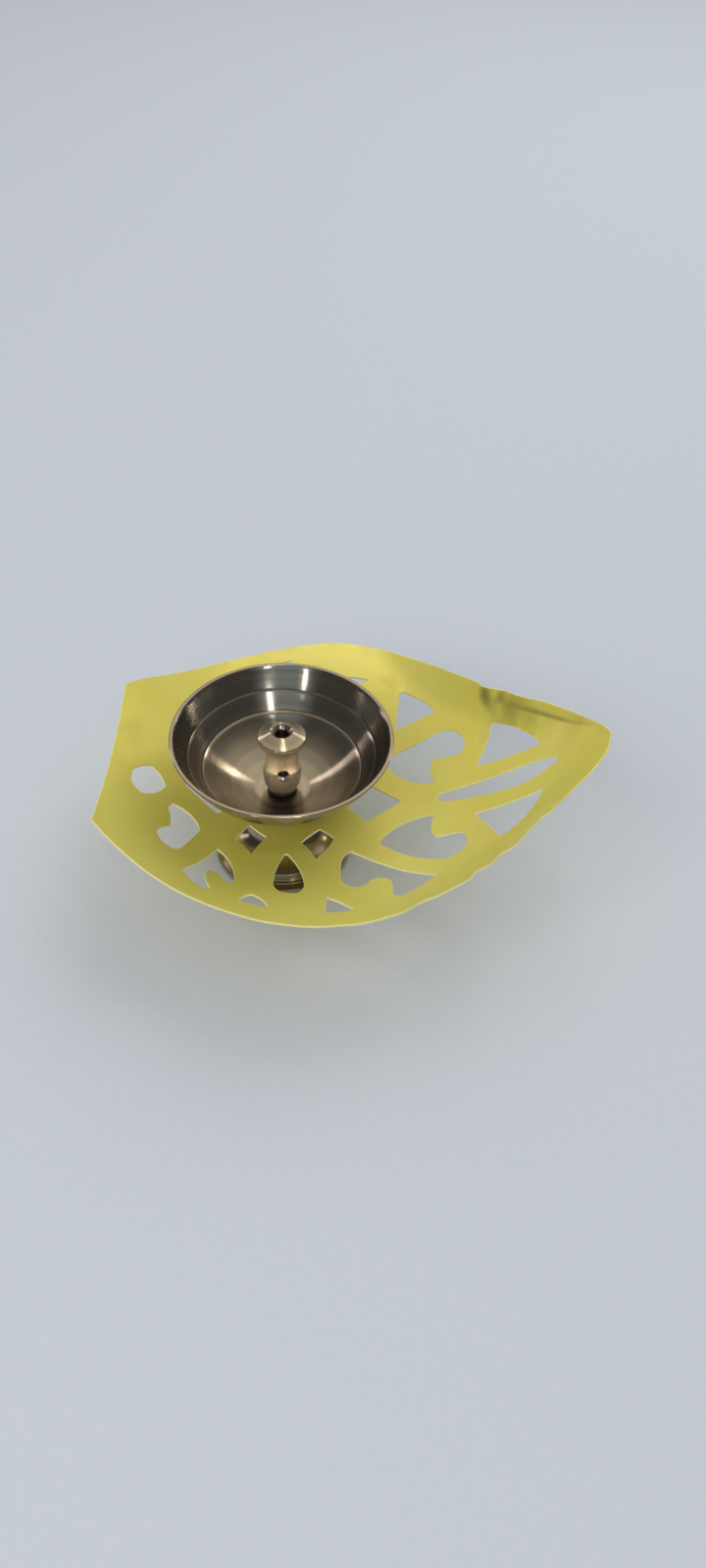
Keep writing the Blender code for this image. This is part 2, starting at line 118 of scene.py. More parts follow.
# %% [markdown]
# ## Soft studio light
# Matt and glossy metal need different things from the light. The leaf and the sheet under the
# lamp want a wide, even light, so the room is bright for them, with one large panel that gives
# the shadows a side. The bowl is nearly a mirror, and in a bright room it would look white, so
# it is shown a dim room with a few small lamps in it, as a mirror is in a studio.
# %% Lights


def add_panel(name, direction, size, power, colour, seen_by, roll=0):
    """A rectangular light one metre off, aimed at the lamp, for matt or for glossy surfaces."""
    place = LAMP_MIDDLE + Vector(direction).normalized()
    bpy.ops.object.light_add(type="AREA", location=place)
    panel = bpy.context.object
    panel.name = name
    panel.data.shape = "RECTANGLE"
    panel.data.size, panel.data.size_y = size
    panel.data.energy = power
    panel.data.color = colour
    aimed = (LAMP_MIDDLE - place).to_track_quat("-Z", "Y").to_matrix().to_4x4()
    panel.rotation_euler = (aimed @ Matrix.Rotation(math.radians(roll), 4, "Z")).to_euler()
    panel.visible_glossy = seen_by == "glossy"
    panel.visible_diffuse = seen_by == "matt"


LAMP_MIDDLE = Vector((0, 0, 0.025))
WARM, COOL, PLAIN = (1.0, 0.86, 0.66), (0.95, 0.98, 1.0), (1.0, 1.0, 1.0)
ROSY = (1.0, 0.84, 0.76)
add_panel("window_panel", (0.30, 0.62, 0.73), (0.8, 0.8), 3.4, COOL, "matt")
add_panel("front_panel", (-0.45, -0.60, 0.66), (0.9, 0.6), 4.3, PLAIN, "matt")
add_panel("high_lamp", (0.03, 0.12, 1.0), (0.13, 0.13), 0.8, WARM, "glossy")
add_panel("right_streak", (0.25, -0.72, 0.62), (0.06, 0.14), 0.60, PLAIN, "glossy")
add_panel("left_streak", (-0.32, -0.87, 0.33), (0.045, 0.24), 0.40, PLAIN, "glossy")
add_panel("back_right_glow", (0.60, 0.58, 0.50), (0.12, 0.18), 0.42, WARM, "glossy", roll=25)
add_panel("back_left_glow", (-0.74, 0.46, 0.40), (0.13, 0.75), 0.55, ROSY, "glossy", roll=35)

# %% [markdown]
# The two rooms are one world that looks at what kind of ray asks. Matt surfaces see a sky that
# is yellower near the ground, as light that has bounced between a gilded leaf and a pale sheet
# is. Glossy ones see a dark room with a soft glow in front and another high at the back.
# %% Room
SKY_LOW, SKY_HIGH = (0.76, 0.73, 0.40), (0.41, 0.47, 0.57)
ROOM_DARK = (0.07, 0.068, 0.065)
FRONT_GLOW, BACK_GLOW = (0.32, 0.39, 0.42), (0.90, 0.80, 0.62)

world = bpy.context.scene.world or bpy.data.worlds.new("room")
bpy.context.scene.world = world
world.use_nodes = True
tree = world.node_tree
direction = tree.nodes.new("ShaderNodeTexCoord").outputs["Generated"]


def towards(aim, start, end):
    """0 to 1 as the direction looked in turns towards aim, from one cosine to another."""
    cosine = tree.nodes.new("ShaderNodeVectorMath")
    cosine.operation = "DOT_PRODUCT"
    tree.links.new(direction, cosine.inputs[0])
    cosine.inputs[1].default_value = Vector(aim).normalized()
    ramp = tree.nodes.new("ShaderNodeMapRange")
    ramp.interpolation_type = "SMOOTHSTEP"
    tree.links.new(cosine.outputs["Value"], ramp.inputs["Value"])
    ramp.inputs["From Min"].default_value = start
    ramp.inputs["From Max"].default_value = end
    return ramp.outputs["Result"]


def sky_between(mask, first, second):
    """A colour that goes from first (a colour or a socket) to second with a mask."""
    blend = tree.nodes.new("ShaderNodeMix")
    blend.data_type = "RGBA"
    tree.links.new(mask, blend.inputs["Factor"])
    ends = [socket for socket in blend.inputs if socket.type == "RGBA"]
    for socket, colour in zip(ends, (first, second)):
        if isinstance(colour, bpy.types.NodeSocket):
            tree.links.new(colour, socket)
        else:
            socket.default_value = (*colour, 1)
    return [socket for socket in blend.outputs if socket.type == "RGBA"][0]


bright = tree.nodes["Background"]
dim = tree.nodes.new("ShaderNodeBackground")
choice = tree.nodes.new("ShaderNodeMixShader")
tree.links.new(sky_between(towards((0, 0, 1), 0.0, 0.8), SKY_LOW, SKY_HIGH), bright.inputs["Color"])
glow = sky_between(towards((0.0, -0.84, 0.53), 0.82, 0.99), ROOM_DARK, FRONT_GLOW)
glow = sky_between(towards((0.05, 0.50, 0.85), 0.50, 0.98), glow, BACK_GLOW)
tree.links.new(glow, dim.inputs["Color"])
tree.links.new(tree.nodes.new("ShaderNodeLightPath").outputs["Is Glossy Ray"], choice.inputs[0])
tree.links.new(bright.outputs[0], choice.inputs[1])
tree.links.new(dim.outputs[0], choice.inputs[2])
tree.links.new(choice.outputs[0], tree.nodes["World Output"].inputs["Surface"])
bpy.context.scene.view_settings.view_transform = "Standard"

# %% [markdown]
# ## Turning on a lathe
# The foot, bowl, washer and wick holder are all turned: a tool follows one profile while the
# metal spins. A cylinder with bevels would get close, but the profile is what the maker sets, so
# one corner is extruded along it and the line is spun round the axis. Doubled points are then
# merged, and the faces are made to point outwards.
# %% A lathe
WELD_GAP = 2e-6                 # points no further apart than this, in metres, become one


def only(obj):
    """Select this object alone and make it the active one."""
    bpy.ops.object.select_all(action="DESELECT")
    obj.select_set(True)
    bpy.context.view_layer.objects.active = obj


def turned(name, profile, steps):
    """Spin an open or closed run of (radius, height) points round Z."""
    start = profile[0]
    bpy.ops.object.select_all(action="DESELECT")
    bpy.ops.mesh.primitive_plane_add(size=MM)
    piece = bpy.context.object
    piece.name = piece.data.name = name
    bpy.ops.object.mode_set(mode="EDIT")
    bpy.ops.mesh.select_mode(type="VERT")
    bpy.ops.mesh.select_all(action="SELECT")
    bpy.ops.mesh.merge(type="CENTER")
    bpy.ops.transform.translate(value=(start[0], 0, start[1]))
    for (r0, z0), (r1, z1) in zip(profile, profile[1:]):
        bpy.ops.mesh.extrude_vertices_move(TRANSFORM_OT_translate={"value": (r1 - r0, 0, z1 - z0)})
    bpy.ops.mesh.select_all(action="SELECT")
    bpy.ops.mesh.spin(steps=steps, angle=math.tau, center=(0, 0, 0), axis=(0, 0, 1))
    bpy.ops.mesh.select_all(action="SELECT")
    bpy.ops.mesh.remove_doubles(threshold=WELD_GAP)
    bpy.ops.mesh.normals_make_consistent(inside=False)
    bpy.ops.object.mode_set(mode="OBJECT")
    return piece


def arc(centre, radius, start, end, steps):
    """Points on an arc in the (radius, height) half-plane, angles in degrees."""
    angles = [math.radians(start + (end - start) * step / steps) for step in range(steps + 1)]
    return [(centre[0] + radius * math.cos(a), centre[1] + radius * math.sin(a)) for a in angles]


def in_mm(points):
    """Profile points given in millimetres, as metres."""
    return [(r * MM, z * MM) for r, z in points]


def rounded(corner, size, quarter, steps=3):
    """A quarter-round on a profile corner, size in metres. quarter is its two angles in degrees."""
    middle = math.radians(sum(quarter) / 2)
    centre = (corner[0] - math.copysign(size, math.cos(middle)),
              corner[1] - math.copysign(size, math.sin(middle)))
    return arc(centre, size, *quarter, steps)


def finish_piece(piece, body, node, crease=32):
    """Shade it smoothly over its shallow edges, then let it ride where the measured one does."""
    only(piece)
    bpy.ops.object.shade_smooth_by_angle(angle=math.radians(crease), keep_sharp_edges=True)
    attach(piece, body)
    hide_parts(node)
    size = [round(length / MM, 1) for length in piece.dimensions]
    print(piece.name, len(piece.data.polygons), "faces,", size)


# %% [markdown]
# ## Foot
# A bronze foot like a squat spool: a wide flat base with two small steps, a waist, and a flat
# seat for the leaf. Every edge that a tool leaves sharp is broken with a small round, because a
# sharp edge would show no bright line.
# %% Foot
EDGE = 0.3 * MM                 # the broken edges of turned pieces
SEAT_RADIUS = 9.0 * MM
STUD_HOLE = 2.4 * MM
BLIND_FLOOR = 8.45 * MM         # bottom of the blind hole for the stud
DRILL_POINT = 0.8 * MM
RELIEF = 0.15 * MM              # the underside is cut back inside the ring that it stands on
RELIEF_RADIUS = 11.4 * MM
STANDING_RADIUS = 11.8 * MM
FOOT_RIM_TOP = 2.2 * MM
WAIST_HEIGHT, WAIST_CURVE = 11.0 * MM, 6.6 * MM
SWEEP_START = 13.2 * MM         # radius where the sweep up to the waist begins
FLARE_HEIGHT, FLARE_CURVE = 13.6 * MM, 2.4 * MM
SEAT_LOW = 16.0 * MM

foot_profile = (
    [(0, RELIEF), (RELIEF_RADIUS, RELIEF), (STANDING_RADIUS, 0)]
    + rounded((FOOT_RADIUS, 0), EDGE, (-90, 0))
    + rounded((FOOT_RADIUS, FOOT_RIM_TOP), EDGE, (0, 90))
    + in_mm([(14.45, 2.2), (14.2, 2.4), (14.2, 3.2), (14.0, 3.4), (13.75, 3.45), (13.6, 3.6),
             (13.55, 4.0), (13.2, 4.4)])
    + arc((SWEEP_START, WAIST_HEIGHT), WAIST_CURVE, 268, 180, 18)
    + arc((SEAT_RADIUS, FLARE_HEIGHT), FLARE_CURVE, 180, 94, 8)
    + rounded((SEAT_RADIUS, SEAT_LOW), EDGE, (-90, 0))
    + rounded((SEAT_RADIUS, FOOT_TOP), EDGE, (0, 90))
    + [(STUD_HOLE + EDGE, FOOT_TOP), (STUD_HOLE, FOOT_TOP - EDGE), (STUD_HOLE, BLIND_FLOOR),
       (0, BLIND_FLOOR - DRILL_POINT)])
foot = turned("bronze_foot", foot_profile, 96)
finish_piece(foot, "base", "foot")

# %% [markdown]
# ## Centre stud
# A length of steel screw rod. Its thread shows when the bowl is lifted off, so it is a real
# helix: a rod is spun with many rings, and each point moves in or out with its height and its
# angle together. The thread runs out at both ends.
# %% Centre stud
STUD_RADIUS = half_size("centre_stud")
THREAD_PITCH = 0.7 * MM
THREAD_DEPTH = 0.36 * MM
THREAD_ROOT, THREAD_FLANK = 1.3, 3.2    # above 1 leaves a flat root
THREAD_RUN_OUT = 0.9 * MM
STUD_END_RADIUS = 1.5 * MM
STUD_LEAD = 0.4 * MM            # height of the taper at each end
RINGS_PER_TURN = 8

ring_gap = THREAD_PITCH / RINGS_PER_TURN
ring_count = int((STUD_HIGH - STUD_LOW - 2 * STUD_LEAD) / ring_gap)
rod = [(0, STUD_LOW), (STUD_END_RADIUS, STUD_LOW)]
rod += [(STUD_RADIUS, STUD_LOW + STUD_LEAD + ring_gap * k) for k in range(ring_count + 1)]
rod += [(STUD_END_RADIUS, STUD_HIGH), (0, STUD_HIGH)]
stud = turned("screw_rod", rod, 32)
for vertex in stud.data.vertices:
    x, y, z = vertex.co
    if math.hypot(x, y) > STUD_RADIUS - 0.1 * MM:
        phase = (z / THREAD_PITCH - math.atan2(y, x) / math.tau) % 1
        groove = min(1.0, max(0.0, THREAD_ROOT - abs(phase - 0.5) * THREAD_FLANK))
        inside = min(z - STUD_LOW, STUD_HIGH - z) / THREAD_RUN_OUT
        shrink = 1 - THREAD_DEPTH * groove * min(1.0, inside) / STUD_RADIUS
        vertex.co = (x * shrink, y * shrink, z)
finish_piece(stud, "base", "centre_stud", crease=40)

# %% [markdown]
# ## Oil bowl
# A shallow bowl whose section is an arc, turned bright inside with a flat narrow rim and a
# boss underneath that presses on the leaf. Two fine grooves run round the inside, where the tool
# was stopped. They could be painted as dark rings, but real grooves also catch the light.
# %% Oil bowl
BOWL_FLOOR = WASHER_FACE - 0.3 * MM
FLOOR_FLAT = 6.0 * MM
WALL = 0.9 * MM
CURVE = 31.9 * MM               # radius of the inside, seen in section
GROOVE_DEPTH = 0.05 * MM
GROOVE_HALF_ANGLE = 0.2         # degrees along the inside of the bowl
GROOVE_CLEAR_ANGLE = 0.5        # no other point of the profile comes closer to a groove
GROOVE_RADII = (21.18 * MM, 17.97 * MM)
INSIDE_STEPS = 30

mouth = RIM_RADIUS - WALL
half_r, half_z = (mouth - FLOOR_FLAT) / 2, (RIM_HEIGHT - BOWL_FLOOR) / 2
half_chord = math.hypot(half_r, half_z)
set_back = math.sqrt(CURVE ** 2 - half_chord ** 2)
curve_centre = (FLOOR_FLAT + half_r - set_back * half_z / half_chord,
                BOWL_FLOOR + half_z + set_back * half_r / half_chord)
outer_curve = math.hypot(RIM_RADIUS - curve_centre[0], RIM_HEIGHT - curve_centre[1])


def angle_at(radius, curve):
    """Where on the bowl's section a radius is, in degrees."""
    return -math.degrees(math.acos((radius - curve_centre[0]) / curve))


def inside_of_bowl():
    """Profile of the bowl's inside, floor to mouth, with its grooves."""
    low, high = angle_at(FLOOR_FLAT, CURVE), angle_at(mouth - 0.1 * MM, CURVE)
    grooves = [angle_at(radius, CURVE) for radius in GROOVE_RADII]
    plain = [low + (high - low) * step / INSIDE_STEPS for step in range(INSIDE_STEPS + 1)]
    stops = [(angle, 0) for angle in plain
             if min(abs(angle - groove) for groove in grooves) > GROOVE_CLEAR_ANGLE]
    for groove in grooves:
        stops += [(groove - GROOVE_HALF_ANGLE, 0), (groove, GROOVE_DEPTH),
                  (groove + GROOVE_HALF_ANGLE, 0)]
    return [arc(curve_centre, CURVE + deep, angle, angle, 1)[0] for angle, deep in sorted(stops)]


bowl_profile = (
    [(STUD_HOLE, BOSS_FACE + EDGE), (STUD_HOLE, BOWL_FLOOR - EDGE), (STUD_HOLE + EDGE, BOWL_FLOOR)]
    + inside_of_bowl()
    + rounded((mouth, RIM_HEIGHT), 0.15 * MM, (180, 90))
    + rounded((RIM_RADIUS, RIM_HEIGHT), 0.25 * MM, (90, 0))
    + arc(curve_centre, outer_curve, angle_at(RIM_RADIUS - 0.1 * MM, outer_curve),
          angle_at(SEAT_RADIUS, outer_curve), 26)
    + [(SEAT_RADIUS, BOSS_FACE + 0.4 * MM)]
    + rounded((SEAT_RADIUS, BOSS_FACE), 0.2 * MM, (0, -90))
    + [(STUD_HOLE + EDGE, BOSS_FACE), (STUD_HOLE, BOSS_FACE + EDGE)])
bowl = turned("spun_bowl", bowl_profile, 128)
finish_piece(bowl, "bowl", "oil_bowl")

# %% [markdown]
# ## Seal washer
# A soft black fibre washer keeps the oil in. Clamping squeezes its edge into a round, so its
# profile bulges instead of ending square.
# %% Seal washer
thickness = WASHER_TOP - WASHER_FACE
bulge = arc((WASHER_RADIUS - thickness / 2, WASHER_FACE + thickness / 2),
            thickness / 2, -90, 90, 6)
washer_profile = ([(STUD_HOLE, WASHER_FACE + 0.1 * MM), (STUD_HOLE + 0.1 * MM, WASHER_FACE)] + bulge
                  + [(STUD_HOLE + 0.1 * MM, WASHER_TOP), (STUD_HOLE, WASHER_TOP - 0.1 * MM),
                     (STUD_HOLE, WASHER_FACE + 0.1 * MM)])
washer = turned("fibre_washer", washer_profile, 64)
finish_piece(washer, "bowl", "seal_washer")

# %% [markdown]
# ## Wick holder
# The wick stands in this small post. Its head is a low cone with a hole for the cotton, its foot
# is a round bead to grip with the fingers, and a hole drilled through it lets the oil in. The
# grip has a crossed, diamond pattern. It is made from the lathe's own faces: each is poked, the
# old edges are dissolved so that diamonds are left, and the diamonds are poked again, outwards.
# %% Wick holder
BEAD_RADIUS = 4.25 * MM
BEAD_FOOT = 3.4 * MM
BEAD_HEIGHT = 8.4 * MM
POST_RADIUS = 3.8 * MM
HEAD_CONE = 1.25 * MM
HEAD_EDGE = 1.5 * MM
WICK_MOUTH = 2.4 * MM
WICK_BORE = 1.5 * MM
WICK_FLOOR = 26.2 * MM
SOCKET_TOP = STUD_HIGH + 0.3 * MM
HOLDER_STEPS = 40
BEAD_STEPS = 10
GRIP_FROM, GRIP_ROWS = 2, 7     # the bead's steps that the grip covers
GRIP_HEIGHT = 0.26 * MM

edge_top = HOLDER_TOP - HEAD_CONE
head_low = edge_top - HEAD_EDGE
bead_middle = HOLDER_FACE + BEAD_HEIGHT / 2
bead_low = -math.acos(BEAD_FOOT / BEAD_RADIUS)
bead_high = math.acos(POST_RADIUS / BEAD_RADIUS)
squash = BEAD_HEIGHT / 2 / math.sin(-bead_low)
bead_turns = [bead_low + (bead_high - bead_low) * step / BEAD_STEPS
              for step in range(BEAD_STEPS + 1)]
bead = [(BEAD_RADIUS * math.cos(a), bead_middle + squash * math.sin(a)) for a in bead_turns]
grip_low, grip_high = bead[GRIP_FROM][1], bead[GRIP_FROM + GRIP_ROWS][1]
bore_top = HOLDER_TOP - (WICK_MOUTH - WICK_BORE)
holder_profile = (
    [(0, SOCKET_TOP + 0.3 * MM), (STUD_HOLE, SOCKET_TOP), (STUD_HOLE, HOLDER_FACE + EDGE),
     (STUD_HOLE + EDGE, HOLDER_FACE)] + bead
    + arc((POST_RADIUS + 0.6 * MM, head_low - 0.6 * MM), 0.6 * MM, 180, 90, 4)
    + rounded((HEAD_RADIUS, head_low), EDGE, (-90, 0))
    + rounded((HEAD_RADIUS, edge_top), EDGE, (0, 80))
    + [(WICK_MOUTH + 0.15 * MM, HOLDER_TOP), (WICK_MOUTH - 0.1 * MM, HOLDER_TOP - 0.1 * MM),
       (WICK_BORE + 0.1 * MM, bore_top), (WICK_BORE, bore_top - 0.15 * MM), (WICK_BORE, WICK_FLOOR),
       (0, WICK_FLOOR - 0.4 * MM)])
holder = turned("wick_post", holder_profile, HOLDER_STEPS)


def select_grip(piece, old_edges=False):
    """Select the faces of the grip, or the upright and level edges inside it."""
    mesh = bmesh.from_edit_mesh(piece.data)
    for part in (*mesh.verts, *mesh.edges, *mesh.faces):
        part.select = False
    for face in mesh.faces:
        middle = face.calc_center_median()
        if middle.xy.length > POST_RADIUS - 0.4 * MM and grip_low < middle.z < grip_high:
            face.select = not old_edges
            for edge in face.edges if old_edges else ():
                a, b = (vert.co for vert in edge.verts)
                level, upright = abs(a.z - b.z) < 1e-6, abs(a.xy.angle_signed(b.xy)) < 1e-3
                border = level and not grip_low + 1e-5 < a.z < grip_high - 1e-5
                edge.select = (level or upright) and not border
    bmesh.update_edit_mesh(piece.data)


bpy.ops.object.mode_set(mode="EDIT")
bpy.ops.mesh.select_mode(type="FACE")
select_grip(holder)
bpy.ops.mesh.poke()
bpy.ops.mesh.select_mode(type="EDGE")
select_grip(holder, old_edges=True)
bpy.ops.mesh.dissolve_edges(use_verts=False)
bpy.ops.mesh.select_mode(type="FACE")
select_grip(holder)
bpy.ops.mesh.poke(offset=GRIP_HEIGHT)
bpy.ops.object.mode_set(mode="OBJECT")

# %% [markdown]
# The oil hole is drilled right through the bead, a little out of square, and its two mouths are
# countersunk. The drill is turned on the same lathe, laid down, and cut away with a Boolean.
# %% Oil hole in the wick holder
OIL_HOLE = 1.1 * MM
OIL_HOLE_HEIGHT = 28.03 * MM
OIL_HOLE_TURN = math.radians(8.3)

flank = math.sqrt(POST_RADIUS ** 2 - OIL_HOLE ** 2)
half_drill = [(OIL_HOLE, flank - 0.25 * MM), (OIL_HOLE + 0.5 * MM, flank + 0.25 * MM),
              (OIL_HOLE + 0.5 * MM, 6 * MM), (0, 6 * MM)]
drill_profile = [(r, -z) for r, z in reversed(half_drill)] + half_drill
drill = turned("oil_drill", drill_profile, 32)
only(drill)
drill.rotation_euler = (math.pi / 2, 0, OIL_HOLE_TURN)
drill.location.z = OIL_HOLE_HEIGHT
bpy.ops.object.transform_apply(location=True, rotation=True, scale=True)
only(holder)
cut = holder.modifiers.new("oil_hole", "BOOLEAN")
cut.operation, cut.solver, cut.object = "DIFFERENCE", "EXACT", drill
bpy.ops.object.modifier_apply(modifier=cut.name)
bpy.data.objects.remove(drill)
finish_piece(holder, "wick_holder", "wick_holder", crease=28)

# %% [markdown]
# ## The leaf's pattern
# The leaf is a flat pattern cut from sheet: a pointed outline with a straight heel, pierced by
# curls, drops and diamonds. It was cut by hand, so the two sides differ a little near the tip.
# Each opening is a short list of corners with a bulge for each side, which is how a maker would
# describe them: 0 is straight, 1 is a half circle and below 0 curves inwards. All of it is in
# millimetres, written as it lies on the far side of the midrib and mirrored for the near side.
# %% Leaf outline and openings
TIP = (72.55, -0.6)
FAR_EDGE = [(72.35, 0.9), (71.7, 2.5), (70.6, 4.6), (68.2, 7.9), (65.0, 11.4), (60.0, 16.0),
            (55.0, 20.4), (51.5, 23.9), (49.5, 25.6), (47.6, 27.0), (46.6, 27.8), (45.4, 29.4),
            (41.6, 32.4), (34.5, 37.5), (27.2, 41.8), (19.7, 44.2), (11.0, 45.1), (4.7, 44.4),
            (-0.2, 43.5), (-7.5, 41.6), (-14.8, 39.1), (-24.1, 34.2), (-34.9, 26.8), (-39.2, 22.3)]
NEAR_EDGE = [(-39.4, -22.0), (-35.4, -25.5), (-30.0, -29.5), (-26.2, -32.1), (-20.0, -35.8),
             (-15.1, -38.3), (-10.0, -40.9), (-5.0, -43.2), (-1.2, -44.6), (4.0, -45.6),
             (9.8, -45.95), (15.0, -45.0), (19.7, -43.9), (24.0, -42.2), (28.0, -40.4), (32.1, -37.6),
             (34.5, -36.9), (36.8, -35.8), (38.6, -34.7), (40.4, -33.8), (41.8, -32.9), (42.4, -31.6),
             (43.3, -30.6), (46.2, -29.4), (48.2, -26.8), (51.2, -25.4), (54.4, -21.7), (57.2, -18.9),
             (58.6, -18.3), (59.5, -17.5), (61.0, -16.0), (64.5, -12.3), (68.5, -8.3), (71.0, -5.1),
             (71.9, -3.5), (72.4, -1.75)]
HEEL_BOW = (-39.1, 0.0)

DROP_AT_HEEL = [(-30.8, 2.1, 0.36), (-34.3, -2.7, 0.36), (-31.3, -7.1, 0.25), (-26.9, -2.8, 0.25)]
DIAMOND_AT_HEEL = [(-22.8, -0.2, 0), (-14.7, -7.5, 0.2), (-13.8, -7.4, 0), (-10.6, 0, 0),
                   (-14.9, 7.6, 0)]
DIAMOND_AT_MIDRIB = [(12.2, -0.6, 0), (19.9, -7.9, 0), (27.4, -1.3, 0.3), (27.0, -0.3, 0),
                     (18.8, 4.9, 0)]
MIDRIB_SLOT = [(37.6, 1.0, 0.9), (37.6, -1.9, 0.03), (54.0, -3.0, 0.10), (62.0, -0.1, 0.55),
               (61.6, 1.9, 0.08), (54.0, 2.8, 0.04)]
ON_AXIS = [DROP_AT_HEEL, DIAMOND_AT_HEEL, DIAMOND_AT_MIDRIB, MIDRIB_SLOT]

TEARDROP = [(2.2, 20.3, 0.4), (3.0, 20.8, 0.13), (6.95, 30.4, 0.29), (5.4, 34.0, 0.08),
            (2.2, 33.8, 0.28), (0.3, 30.0, 0.10), (1.8, 20.9, 0.3)]
HEEL_DIAMOND = [(-6.8, 10.5, -0.04), (-2.6, 14.2, -0.04), (-5.3, 20.8, -0.04), (-9.6, 15.2, -0.04)]
TIP_DIAMOND = [(9.3, 10.9, 0.10), (12.7, 14.0, 0.10), (9.0, 21.4, -0.08), (5.4, 15.7, 0.08)]
HEEL_COMMA = [(-24.6, 7.4, 0.29), (-17.6, 14.2, 0.1), (-18.5, 16.3, -0.03), (-20.5, 20.7, 0.3),
              (-22.4, 22.0, 0.25), (-26.4, 18.2, 0.35), (-25.6, 15.8, 0), (-24.1, 14.9, -0.10),
              (-25.3, 9.0, 0.3)]
HEEL_SCROLL = [(-12.9, 19.8, 0.20), (-8.1, 30.6, 0.5), (-8.9, 31.4, 0), (-10.4, 30.6, -0.25),
               (-13.6, 27.5, -0.4), (-14.5, 28.6, -0.13), (-12.9, 33.6, 0.45), (-13.6, 34.2, 0.16),
               (-19.5, 28.3, -0.09)]
HEEL_SPUR = [(-6.2, 37.0, 0.2), (-3.9, 35.1, 0.2), (-0.2, 39.2, 0.4), (-1.0, 39.6, -0.03),
             (-5.9, 37.9, 0.5)]
MIRRORED_PAIRS = [TEARDROP, HEEL_DIAMOND, TIP_DIAMOND, HEEL_COMMA, HEEL_SCROLL, HEEL_SPUR]

NEAR_PETAL = [(44.5, 8.2, 0.35), (45.0, 7.7, 0), (58.3, 6.9, 0.5), (58.7, 7.4, 0.17),
              (49.9, 17.4, 0.4), (49.3, 17.4, -0.04)]
NEAR_COMMA = [(23.0, 14.6, 0.28), (35.6, 5.6, -0.22), (35.2, 12.8, -0.3), (35.9, 13.1, -0.04),
              (40.3, 12.7, 0.38), (42.4, 16.0, 0.38), (36.8, 21.1, 0.12), (23.6, 15.7, 0.35)]
NEAR_SCROLL = [(16.6, 18.3, -0.08), (35.4, 26.3, 0.06), (28.2, 33.1, 0.45), (26.1, 32.4, 0),
               (25.8, 28.2, -0.55), (20.8, 28.6, 0.22), (18.2, 30.8, 0.38), (14.7, 27.8, 0.05),
               (14.6, 22.6, 0.24)]
NEAR_SPUR = [(17.6, 38.6, 0.4), (17.4, 39.3, 0.05), (11.9, 40.7, 0), (12.0, 35.0, 0.08)]
NEAR_SIDE = [NEAR_PETAL, NEAR_COMMA, NEAR_SCROLL, NEAR_SPUR]

FAR_PETAL = [(45.1, 7.1, 0), (58.7, 7.2, 0.4), (59.0, 7.9, 0.16), (49.5, 18.5, 0.4),
             (48.9, 18.2, -0.08)]
FAR_COMMA = [(23.2, 12.0, 0.32), (35.7, 4.6, -0.2), (35.0, 11.4, -0.35), (35.8, 12.0, -0.03),
             (40.5, 12.0, 0.38), (42.7, 15.2, 0.36), (38.2, 20.3, 0.10), (35.5, 19.3, 0),
             (23.6, 12.6, 0.4)]
FAR_SCROLL = [(26.2, 21.3, 0), (35.4, 26.1, 0.4), (35.5, 26.8, 0.12), (28.0, 32.3, 0.35),
              (26.9, 31.6, 0.03)]
FAR_LOBE = [(16.6, 18.3, -0.02), (21.4, 20.4, 0.2), (21.6, 27.4, 0.1), (20.6, 29.2, 0.2),
            (18.2, 30.8, 0.38), (14.7, 27.8, 0.05), (14.6, 22.6, 0.26)]
FAR_SPUR = [(12.0, 31.5, 0), (18.9, 35.3, 0.10), (14.0, 35.8, 0)]
FAR_SIDE = [FAR_PETAL, FAR_COMMA, FAR_SCROLL, FAR_LOBE, FAR_SPUR]


def smooth_path(points, steps):
    """A smooth curve through the points, both ends included."""
    path = []
    padded = [points[0], *points, points[-1]]
    for a, b, c, d in zip(padded, padded[1:], padded[2:], padded[3:]):
        for step in range(steps):
            t = step / steps
            path.append(tuple(0.5 * (2 * b[k] + (c[k] - a[k]) * t
                                     + (2 * a[k] - 5 * b[k] + 4 * c[k] - d[k]) * t ** 2
                                     + (3 * b[k] - a[k] - 3 * c[k] + d[k]) * t ** 3) for k in (0, 1)))
    return path + [points[-1]]


def bulged_loop(corners, side=1):
    """Corners with bulges, as a closed run of points in millimetres."""
    loop = []
    for (x0, y0, bulge), (x1, y1, _) in zip(corners, corners[1:] + corners[:1]):
        swing = 4 * math.atan(bulge)
        steps = max(1, math.ceil(abs(swing) / math.radians(9)))
        for step in range(steps):
            along, across = step / steps, 0.0
            if abs(bulge) > 1e-6:
                part = swing * (step / steps - 0.5)
                along = 0.5 + math.sin(part) / (2 * math.sin(swing / 2))
                across = (math.cos(part) - math.cos(swing / 2)) / (2 * math.sin(swing / 2))
            loop.append((x0 + (x1 - x0) * along + (y1 - y0) * across,
                         side * (y0 + (y1 - y0) * along - (x1 - x0) * across)))
    return loop


LEAF_HOLE = 2.4                 # radius of the stud's hole
LEAF_HOLE_STEPS = 48
EDGE_STEPS = 5                  # points made between two points of the outline

leaf_edge = smooth_path(NEAR_EDGE + [TIP] + FAR_EDGE, EDGE_STEPS)
outline = leaf_edge + [HEEL_BOW]
hole_angles = [math.tau * step / LEAF_HOLE_STEPS for step in range(LEAF_HOLE_STEPS)]
openings = [[(LEAF_HOLE * math.cos(a), LEAF_HOLE * math.sin(a)) for a in hole_angles]]
openings += [bulged_loop(shape) for shape in ON_AXIS + FAR_SIDE + MIRRORED_PAIRS]
openings += [bulged_loop(shape, -1) for shape in NEAR_SIDE + MIRRORED_PAIRS]
print(len(openings), "openings,", len(outline), "points round the leaf")

